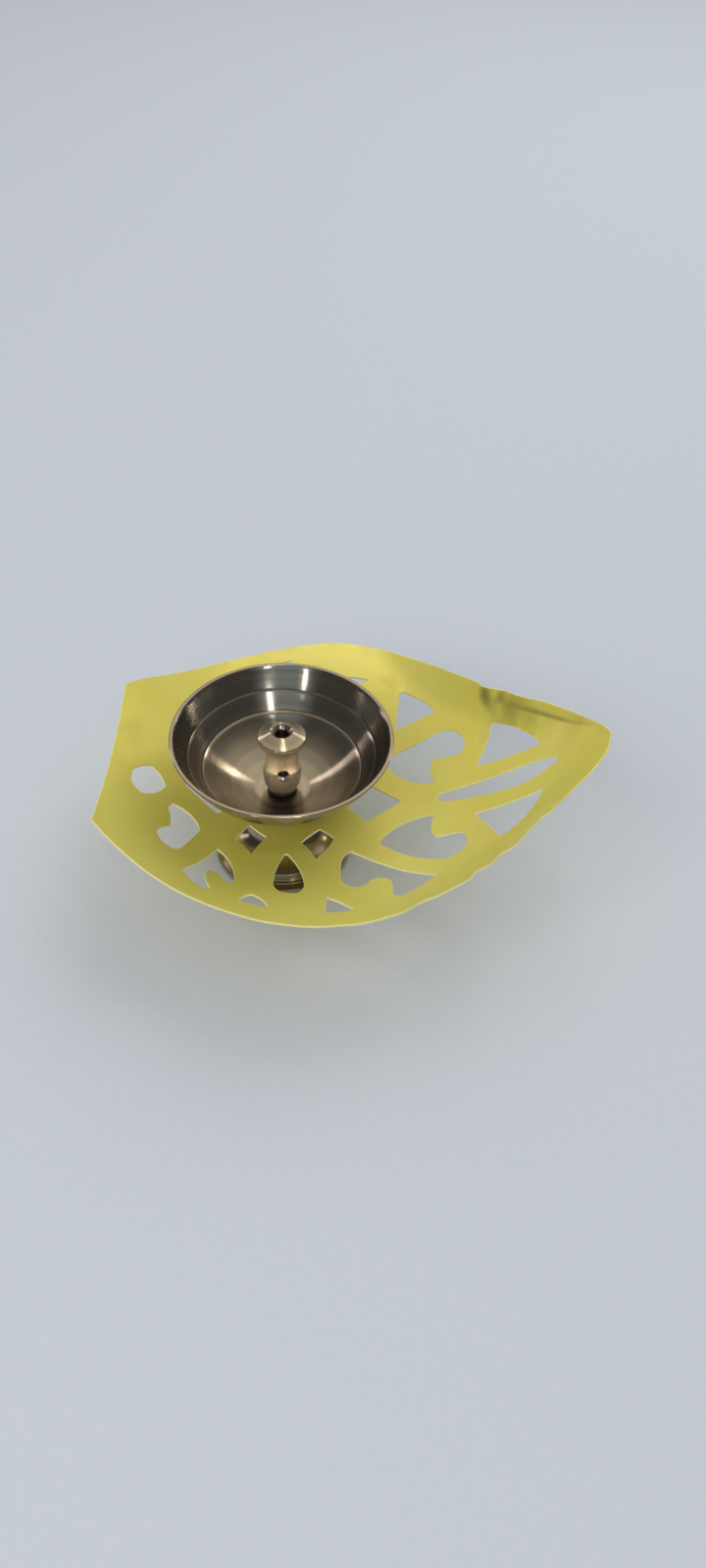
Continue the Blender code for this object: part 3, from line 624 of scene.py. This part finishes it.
# %% [markdown]
# ## How the leaf is bent
# The sheet is flat under the bowl and dished by hand beyond it: the tip sweeps up like a flame,
# the heel and the two sides curl up less, and the margin beside the tip is turned up a little
# more. Bending could be done with a lattice, but a height for every place in plan is simpler to
# reason about, and it can be checked against the measured leaf.
# %% The bend as a height over the plan
SEAT_HEIGHT = (FOOT_TOP + BOSS_FACE) / 2
SHEET = 0.5 * MM
LEAF_TIP_X, LEAF_HEEL_X, LEAF_HALF_WIDTH = 72.5, -39.4, 45.9
TIP_RISE, TIP_BEND_START, TIP_BEND_POWER = 23.7, 26.0, 1.85
HEEL_RISE, HEEL_BEND_START = 10.0, -10.0
SIDE_RISE = 9.5
MARGIN_RISE, MARGIN_WIDTH = 3.4, 10.0
MARGIN_GROWS, MARGIN_FADES = (18, 42), (58, 72)     # along the leaf
BURR_RISE, BURR_WIDTH, BURR_FLAT = 0.75, 1.5, 0.3
BURR_GROWS = (47.5, 53)
FLAT_RADIUS, BENT_RADIUS = 9.5, 21.0


def smoothstep(value, low, high):
    t = min(max((value - low) / (high - low), 0.0), 1.0)
    return t * t * (3 - 2 * t)


far_side = [point for point in leaf_edge if point[1] >= TIP[1]]
near_side = [point for point in reversed(leaf_edge) if point[1] <= TIP[1]]


def room_to_edge(x, y):
    """How far a place lies inside the leaf's edge, straight across the leaf."""
    side, way = (far_side, 1) if y >= 0 else (near_side, -1)
    for (xa, ya), (xb, yb) in zip(side, side[1:]):
        if xb <= x <= xa and xa > xb:
            return max(0.0, way * (ya + (yb - ya) * (xa - x) / (xa - xb) - y))
    return 0.0


def leaf_rise(x, y):
    """Height of the sheet's middle over its flat seat, everything in millimetres."""
    rise = SIDE_RISE * (abs(y) / LEAF_HALF_WIDTH) ** 2
    if x > TIP_BEND_START:
        rise += TIP_RISE * ((x - TIP_BEND_START) / (LEAF_TIP_X - TIP_BEND_START)) ** TIP_BEND_POWER
    if x < HEEL_BEND_START:
        rise += HEEL_RISE * ((HEEL_BEND_START - x) / (HEEL_BEND_START - LEAF_HEEL_X)) ** 2
    inboard = room_to_edge(x, y)
    if inboard < MARGIN_WIDTH:
        beside_tip = smoothstep(x, *MARGIN_GROWS) * (1 - smoothstep(x, *MARGIN_FADES))
        rise += MARGIN_RISE * beside_tip * (1 - inboard / MARGIN_WIDTH) ** 2
    if inboard < BURR_WIDTH and y > 0:
        at_edge = 1 - smoothstep(inboard, BURR_FLAT, BURR_WIDTH)
        rise += BURR_RISE * smoothstep(x, *BURR_GROWS) * at_edge
    return rise * smoothstep(math.hypot(x, y), FLAT_RADIUS, BENT_RADIUS)


# %% [markdown]
# ## Cutting the blank
# Each loop starts as a circle with the right number of points, which are then moved onto the
# pattern. Joined and turned into a flat filled curve, the inner loops become openings, and the
# curve's own bevel breaks the cut edges. A Boolean for each opening would do the same with far
# more trouble.
# %% Cut the flat blank
EDGE_BREAK = 0.07 * MM


def loop_object(points):
    bpy.ops.object.select_all(action="DESELECT")
    bpy.ops.mesh.primitive_circle_add(vertices=len(points), radius=10 * MM)
    ring = bpy.context.object
    for vertex, (x, y) in zip(ring.data.vertices, points):
        vertex.co = (x * MM, y * MM, 0)
    return ring


rings = [loop_object(points) for points in [outline] + openings]
for ring in rings:
    ring.select_set(True)
bpy.context.view_layer.objects.active = rings[0]
bpy.ops.object.join()
leaf = bpy.context.object
leaf.name = "gilt_leaf"
bpy.ops.object.convert(target="CURVE")
leaf.data.dimensions = "2D"
leaf.data.fill_mode = "BOTH"
leaf.data.extrude = SHEET / 2 - EDGE_BREAK
leaf.data.bevel_depth = EDGE_BREAK
leaf.data.bevel_resolution = 0
leaf.data.offset = -EDGE_BREAK
bpy.ops.object.convert(target="MESH")
leaf = bpy.context.object
leaf.name = leaf.data.name = "gilt_leaf"
bpy.ops.object.mode_set(mode="EDIT")
bpy.ops.mesh.select_all(action="SELECT")
bpy.ops.mesh.remove_doubles(threshold=WELD_GAP)
bpy.ops.object.mode_set(mode="OBJECT")
print("blank:", len(leaf.data.polygons), "faces,", [round(d / MM, 2) for d in leaf.dimensions])

# %% [markdown]
# ## Bending it
# A sheet bends only where it has edges to bend along, so it is cut by a grid of planes first,
# with closer ones along the far margin where the edge is turned up sharply. Then each point goes
# to the bent surface and out along that surface's own normal, which keeps the sheet the same
# thickness all over.
# %% Bend the blank
CELL = 2.0 * MM
FINE_CELL = 0.4 * MM
ALONG, ACROSS = (-39 * MM, 73 * MM), (-45 * MM, 47 * MM)
ALONG_FAR_MARGIN = (50 * MM, 57 * MM)   # out from the middle, square to that margin
FAR_NOTCH_X, FINE_STRIP = 45, 4.5       # in millimetres
SLOPE_STEP = 0.02                       # in millimetres
UPRIGHT = 0.9                           # a face that points up or down more than this is no edge


def slice_across(direction, first, last, gap, near=None):
    """Cut the leaf by parallel planes. near keeps the cuts to faces whose middle it accepts."""
    normal = Vector(direction).normalized()
    for step in range(math.ceil((last - first) / gap)):
        mesh = bmesh.from_edit_mesh(leaf.data)
        for face in mesh.faces:
            face.select_set(near is None or near(face.calc_center_median()))
        mesh.select_flush_mode()
        bmesh.update_edit_mesh(leaf.data)
        bpy.ops.mesh.bisect(plane_co=normal * (first + gap * step), plane_no=normal, threshold=1e-6)


def by_far_margin(place):
    """Whether a face lies in the strip inside the far edge, notch to tip."""
    x, y = place.x / MM, place.y / MM
    return x > FAR_NOTCH_X and y > 0 and room_to_edge(x, y) < FINE_STRIP


only(leaf)
bpy.ops.object.mode_set(mode="EDIT")
bpy.ops.mesh.select_mode(type="FACE")
slice_across((1, 0, 0), *ALONG, CELL)
slice_across((0, 1, 0), *ACROSS, CELL)
slice_across((1, 1, 0), *ALONG_FAR_MARGIN, FINE_CELL, by_far_margin)
bpy.ops.object.mode_set(mode="OBJECT")

cut_faces = [face.index for face in leaf.data.polygons if abs(face.normal.z) < UPRIGHT]
for vertex in leaf.data.vertices:
    x, y = vertex.co.x / MM, vertex.co.y / MM
    rise = leaf_rise(x, y)
    slope_x = (leaf_rise(x + SLOPE_STEP, y) - leaf_rise(x - SLOPE_STEP, y)) / (2 * SLOPE_STEP)
    slope_y = (leaf_rise(x, y + SLOPE_STEP) - leaf_rise(x, y - SLOPE_STEP)) / (2 * SLOPE_STEP)
    up = Vector((-slope_x, -slope_y, 1)).normalized()
    vertex.co = Vector((x * MM, y * MM, SEAT_HEIGHT + rise * MM)) + up * vertex.co.z
print("bent:", len(leaf.data.polygons), "faces")

# %% [markdown]
# ## Shader groups
# Four effects are used again and again. Turned metal has fine lines that run round it at every
# radius. All the metals have soft smudges where fingers touched them. The leaf has fine specks,
# and patches of painted shade where its margin is bent up. Each effect is a group that gives a
# mask, so that each material can use it at its own strength.
# %% Shader groups


def new_group(name, inputs, outputs):
    """An empty shader group with inputs {name: number or three numbers} and float outputs."""
    group = bpy.data.node_groups.new(name, "ShaderNodeTree")
    for label, value in inputs.items():
        kind = "NodeSocketVector" if isinstance(value, tuple) else "NodeSocketFloat"
        socket = group.interface.new_socket(label, in_out="INPUT", socket_type=kind)
        socket.default_value = value
    for label in outputs:
        group.interface.new_socket(label, in_out="OUTPUT", socket_type="NodeSocketFloat")
    return group, group.nodes.new("NodeGroupInput"), group.nodes.new("NodeGroupOutput")


def math_node(tree, operation, first, second=None, third=None, clamp=False):
    """A Math node whose inputs are sockets or plain numbers."""
    node = tree.nodes.new("ShaderNodeMath")
    node.operation, node.use_clamp = operation, clamp
    for socket, value in zip(node.inputs, (first, second, third)):
        if isinstance(value, bpy.types.NodeSocket):
            tree.links.new(value, socket)
        elif value is not None:
            socket.default_value = value
    return node.outputs[0]


def place_on_piece(tree):
    """Where a point lies, in metres, in the piece's own coordinates."""
    return tree.nodes.new("ShaderNodeTexCoord").outputs["Object"]


def noise(tree, vector, scale, detail=2.0, roughness=0.5):
    """A cloudy value from 0 to 1. The scale is a socket or a number."""
    node = tree.nodes.new("ShaderNodeTexNoise")
    tree.links.new(vector, node.inputs["Vector"])
    if isinstance(scale, bpy.types.NodeSocket):
        tree.links.new(scale, node.inputs["Scale"])
    else:
        node.inputs["Scale"].default_value = scale
    node.inputs["Detail"].default_value = detail
    node.inputs["Roughness"].default_value = roughness
    return node.outputs["Fac"]


def spread(tree, value, low, high):
    """Stretch a value so that low becomes 0 and high becomes 1."""
    node = tree.nodes.new("ShaderNodeMapRange")
    tree.links.new(value, node.inputs["Value"])
    for label, number in (("From Min", low), ("From Max", high)):
        if isinstance(number, bpy.types.NodeSocket):
            tree.links.new(number, node.inputs[label])
        else:
            node.inputs[label].default_value = number
    return node.outputs["Result"]


def build_turning_lines():
    """Fine rings at every radius and height, as a lathe tool leaves them."""
    group, given, out = new_group("turning_lines", {"Lines per metre": 3000.0}, ["Height", "Bands"])
    split = group.nodes.new("ShaderNodeSeparateXYZ")
    group.links.new(place_on_piece(group), split.inputs[0])
    flat = math_node(group, "SQRT", math_node(
        group, "ADD", math_node(group, "MULTIPLY", split.outputs[0], split.outputs[0]),
        math_node(group, "MULTIPLY", split.outputs[1], split.outputs[1])))
    joined = group.nodes.new("ShaderNodeCombineXYZ")
    group.links.new(flat, joined.inputs[0])
    group.links.new(split.outputs[2], joined.inputs[2])
    fine = noise(group, joined.outputs[0], given.outputs["Lines per metre"], 3.0, 0.7)
    broad = noise(group, joined.outputs[0], 420.0, 1.0)
    group.links.new(fine, out.inputs["Height"])
    group.links.new(spread(group, broad, 0.35, 0.65), out.inputs["Bands"])
    return group


def build_smudges():
    """Soft patches where the metal was handled."""
    group, given, out = new_group("smudges", {"Scale": 60.0, "Low": 0.45, "High": 0.7}, ["Mask"])
    patches = noise(group, place_on_piece(group), given.outputs["Scale"], 4.0, 0.6)
    group.links.new(spread(group, patches, given.outputs["Low"], given.outputs["High"]),
                    out.inputs["Mask"])
    return group


def build_specks():
    """Sparse fine specks of dust and tiny chips."""
    group, given, out = new_group("specks", {"Scale": 1200.0, "Amount": 0.3}, ["Mask"])
    grains = noise(group, place_on_piece(group), given.outputs["Scale"], 0.0)
    threshold = math_node(group, "SUBTRACT", 1.0, given.outputs["Amount"])
    above = math_node(group, "SUBTRACT", grains, threshold)
    group.links.new(math_node(group, "MULTIPLY", above, 20.0, clamp=True), out.inputs["Mask"])
    return group


def build_shade_patch():
    """One soft-edged oval patch of painted shade on the piece, seen from above. Sizes in metres, turn
    in radians.
    """
    inputs = {"Centre": (0.0, 0.0, 0.0), "Half size": (0.01, 0.01, 1.0), "Turn": 0.0}
    group, given, out = new_group("shade_patch", inputs, ["Mask"])
    moved, scaled, flat, length = (group.nodes.new("ShaderNodeVectorMath") for _ in range(4))
    moved.operation, scaled.operation = "SUBTRACT", "DIVIDE"
    flat.operation, length.operation = "MULTIPLY", "LENGTH"
    turned_back = group.nodes.new("ShaderNodeVectorRotate")
    turned_back.rotation_type = "Z_AXIS"
    flat.inputs[1].default_value = (1, 1, 0)
    group.links.new(place_on_piece(group), moved.inputs[0])
    group.links.new(given.outputs["Centre"], moved.inputs[1])
    group.links.new(moved.outputs[0], turned_back.inputs["Vector"])
    group.links.new(given.outputs["Turn"], turned_back.inputs["Angle"])
    group.links.new(turned_back.outputs[0], scaled.inputs[0])
    group.links.new(given.outputs["Half size"], scaled.inputs[1])
    group.links.new(scaled.outputs[0], flat.inputs[0])
    group.links.new(flat.outputs[0], length.inputs[0])
    rough = noise(group, place_on_piece(group), 350.0, 3.0)
    ragged = math_node(group, "MULTIPLY_ADD", rough, 0.5, length.outputs["Value"])
    group.links.new(spread(group, ragged, 1.3, 0.5), out.inputs["Mask"])
    return group


turning_lines = build_turning_lines()
shade_patch = build_shade_patch()
smudges = build_smudges()
specks = build_specks()
print("groups:", [group.name for group in (turning_lines, smudges, specks, shade_patch)])

# %% [markdown]
# ## Materials
# Each finish starts from one shader with its plain numbers set, and the groups then vary colour,
# roughness and relief over it.
# %% Material helpers


def new_finish(name, colour, metallic, roughness, **plain):
    """A material with one Principled shader. plain holds further numbers for its sockets."""
    finish = bpy.data.materials.new(name)
    finish.use_nodes = True
    shader = finish.node_tree.nodes["Principled BSDF"]
    shader.inputs["Base Color"].default_value = (*colour, 1)
    shader.inputs["Metallic"].default_value = metallic
    shader.inputs["Roughness"].default_value = roughness
    for label, value in plain.items():
        socket = label.replace("_", " ").title().replace("Ior", "IOR")
        shader.inputs[socket].default_value = value
    return finish, finish.node_tree, shader


def use_group(tree, group, **values):
    """A group in a material, with values for its inputs: lines_per_metre is "Lines per metre"."""
    node = tree.nodes.new("ShaderNodeGroup")
    node.node_tree = group
    for label, value in values.items():
        node.inputs[label.replace("_", " ").capitalize()].default_value = value
    return node


def mix_colours(tree, mask, first, second):
    """Between two colours by a mask. Each colour is a socket or three numbers."""
    node = tree.nodes.new("ShaderNodeMix")
    node.data_type = "RGBA"
    tree.links.new(mask, node.inputs["Factor"])
    for label, colour in (("A", first), ("B", second)):
        socket = [s for s in node.inputs if s.name == label and s.type == "RGBA"][0]
        if isinstance(colour, bpy.types.NodeSocket):
            tree.links.new(colour, socket)
        else:
            socket.default_value = (*colour, 1)
    return [s for s in node.outputs if s.type == "RGBA"][0]


def between(tree, mask, low, high):
    """A number that runs from low to high with a mask."""
    return math_node(tree, "MULTIPLY_ADD", mask, high - low, low)


def add_bump(tree, shader, height, strength, distance):
    """Relief from a height of 0 to 1, over a distance in metres."""
    bump = tree.nodes.new("ShaderNodeBump")
    bump.inputs["Strength"].default_value = strength
    bump.inputs["Distance"].default_value = distance
    tree.links.new(height, bump.inputs["Height"])
    tree.links.new(bump.outputs["Normal"], shader.inputs["Normal"])


# %% [markdown]
# ### Turned bronze
# The bowl and wick holder are bright bronze straight from the lathe. The lines round it spread
# each reflection into a streak, so the shader is told that it is rougher one way than the other.
# %% Turned bronze
STREAKS_OUTWARDS = 0.25         # a quarter turn from the tangent, so a streak runs up the bowl


def turned_bronze(name, colour, tint, roughness, anisotropy, lines, relief):
    """Bright turned metal. tint is the colour of its darker bands."""
    finish, tree, shader = new_finish(name, colour, 1.0, roughness, anisotropic=anisotropy)
    ring = use_group(tree, turning_lines, lines_per_metre=lines)
    patch = use_group(tree, smudges, scale=90.0, low=0.42, high=0.68)
    banded = mix_colours(tree, ring.outputs["Bands"], colour, tint)
    tree.links.new(banded, shader.inputs["Base Color"])
    touched = math_node(tree, "MULTIPLY", patch.outputs["Mask"], 0.06)
    scored = between(tree, ring.outputs["Height"], roughness - 0.04, roughness + 0.05)
    tree.links.new(math_node(tree, "ADD", touched, scored), shader.inputs["Roughness"])
    shader.inputs["Anisotropic Rotation"].default_value = STREAKS_OUTWARDS
    around = tree.nodes.new("ShaderNodeTangent")
    around.direction_type, around.axis = "RADIAL", "Z"
    tree.links.new(around.outputs["Tangent"], shader.inputs["Tangent"])
    add_bump(tree, shader, ring.outputs["Height"], 0.25, relief)
    return finish


bowl_bronze = turned_bronze("turned_bronze", (0.50, 0.455, 0.375), (0.41, 0.37, 0.31),
                            roughness=0.17, anisotropy=0.88, lines=2600.0, relief=0.02 * MM)
foot_bronze = turned_bronze("polished_bronze", (0.42, 0.35, 0.26), (0.36, 0.30, 0.22),
                            roughness=0.16, anisotropy=0.5, lines=1800.0, relief=0.03 * MM)
for piece, finish in ((bowl, bowl_bronze), (holder, bowl_bronze), (foot, foot_bronze)):
    piece.data.materials.clear()
    piece.data.materials.append(finish)

# %% [markdown]
# ### Gold lacquer
# The leaf is thin metal under a yellow lacquer. It is neither a mirror nor a paint: a dull metal
# sheen over a strong colour, cloudy where it was handled. Shade is painted dark into its colour at
# the notch and along the fold beside the tip, where the margin is turned up and shades the sheet.
# %% Gold lacquer
LACQUER = (0.66, 0.565, 0.09)
LACQUER_PALE = (0.71, 0.625, 0.14)
LACQUER_DEEP = (0.60, 0.485, 0.05)
# the dark colour of the painted shade
LACQUER_IN_SHADE = (0.17, 0.15, 0.04)
DUST = (0.75, 0.74, 0.66)
# Painted shade: each patch's middle and half sizes in millimetres, its turn in degrees, and its depth
SHADE_PATCHES = [((47.2, 25.6), (1.2, 3.0), -20, 0.75), ((50.6, 23.2), (1.9, 1.3), 45, 0.55),
          ((60.2, 13.6), (13.5, 0.55), 43, 0.6), ((48.0, 24.0), (1.6, 4.5), -25, 0.45),
          ((52.8, 19.6), (1.6, 4.2), -25, 0.35), ((57.0, 15.0), (1.8, 3.6), -25, 0.25),
          ((53.0, 19.0), (9.0, 4.5), -40, 0.28), ((66.0, 6.5), (5.5, 3.5), -40, 0.15)]

gold, tree, shader = new_finish("gold_lacquer", LACQUER, 0.22, 0.42)
clouds = use_group(tree, smudges, scale=28.0, low=0.35, high=0.7)
marks = use_group(tree, smudges, scale=140.0, low=0.5, high=0.8)
dust = use_group(tree, specks, scale=1500.0, amount=0.22)
base = mix_colours(tree, clouds.outputs["Mask"], LACQUER, LACQUER_PALE)
for layer, depth, colour in ((marks, 0.35, LACQUER_DEEP), (dust, 0.25, DUST)):
    shade = math_node(tree, "MULTIPLY", layer.outputs["Mask"], depth)
    base = mix_colours(tree, shade, base, colour)
# painted shade: dark patches at the notch and along the turned-up margin beside the tip
for (x, y), (half_x, half_y), degrees, depth in SHADE_PATCHES:
    patch = use_group(tree, shade_patch, centre=(x * MM, y * MM, 0),
                      half_size=(half_x * MM, half_y * MM, 1), turn=math.radians(degrees))
    shade = math_node(tree, "MULTIPLY", patch.outputs["Mask"], depth)
    base = mix_colours(tree, shade, base, LACQUER_IN_SHADE)
tree.links.new(base, shader.inputs["Base Color"])
tree.links.new(between(tree, marks.outputs["Mask"], 0.36, 0.50), shader.inputs["Roughness"])
add_bump(tree, shader, noise(tree, place_on_piece(tree), 60.0, 2.0), 0.2, 0.25 * MM)

# The cut edge is bare metal, chipped to white along the far side
EDGE_BARE, EDGE_BRIGHT, EDGE_CHIPPED = (0.74, 0.66, 0.22), (0.98, 0.93, 0.55), (0.95, 0.94, 0.88)
CHIPS_BEGIN, CHIPS_FULL = 0.036, 0.040      # metres across the leaf

edge_brass, tree, shader = new_finish("cut_edge", (0.7, 0.6, 0.2), 0.3, 0.38)
burrs = noise(tree, place_on_piece(tree), 2500.0, 2.0)
chips = use_group(tree, specks, scale=700.0, amount=0.36)
across = tree.nodes.new("ShaderNodeSeparateXYZ")
tree.links.new(place_on_piece(tree), across.inputs[0])
far_out = spread(tree, across.outputs[1], CHIPS_BEGIN, CHIPS_FULL)
far_chips = math_node(tree, "MULTIPLY", chips.outputs["Mask"], far_out)
bare = mix_colours(tree, burrs, EDGE_BARE, EDGE_BRIGHT)
tree.links.new(mix_colours(tree, far_chips, bare, EDGE_CHIPPED), shader.inputs["Base Color"])
add_bump(tree, shader, burrs, 0.3, 0.03 * MM)

leaf.data.materials.clear()
leaf.data.materials.append(gold)
leaf.data.materials.append(edge_brass)
for index in cut_faces:
    leaf.data.polygons[index].material_index = 1
finish_piece(leaf, "leaf", "leaf_plate", crease=35)

# %% [markdown]
# ### Steel and fibre
# The stud is plated steel, a little dull. The washer is pressed fibre, black and dry.
# %% Steel and fibre
steel, tree, shader = new_finish("zinc_steel", (0.60, 0.60, 0.58), 1.0, 0.34)
plating = use_group(tree, smudges, scale=400.0, low=0.4, high=0.7)
tree.links.new(mix_colours(tree, plating.outputs["Mask"], (0.62, 0.62, 0.60), (0.45, 0.45, 0.44)),
               shader.inputs["Base Color"])
tree.links.new(between(tree, plating.outputs["Mask"], 0.28, 0.46), shader.inputs["Roughness"])
stud.data.materials.clear()
stud.data.materials.append(steel)

fibre, tree, shader = new_finish("dark_fibre", (0.03, 0.027, 0.025), 0.0, 0.75)
felt = noise(tree, place_on_piece(tree), 3500.0, 4.0, 0.7)
tree.links.new(mix_colours(tree, felt, (0.018, 0.016, 0.015), (0.06, 0.052, 0.045)),
               shader.inputs["Base Color"])
add_bump(tree, shader, felt, 0.6, 0.04 * MM)
washer.data.materials.clear()
washer.data.materials.append(fibre)

# %% Floor finish
FLOOR_COLOUR, FLOOR_PALE = (0.59, 0.60, 0.64), (0.63, 0.635, 0.665)

sheet, tree, shader = new_finish("pale_sheet", (0.62, 0.66, 0.72), 0.0, 0.85,
                                 specular_ior_level=0.2)
tooth = noise(tree, place_on_piece(tree), 500.0, 3.0)
tree.links.new(mix_colours(tree, tooth, FLOOR_COLOUR, FLOOR_PALE), shader.inputs["Base Color"])
add_bump(tree, shader, tooth, 0.15, 0.3 * MM)
floor.data.materials.append(sheet)
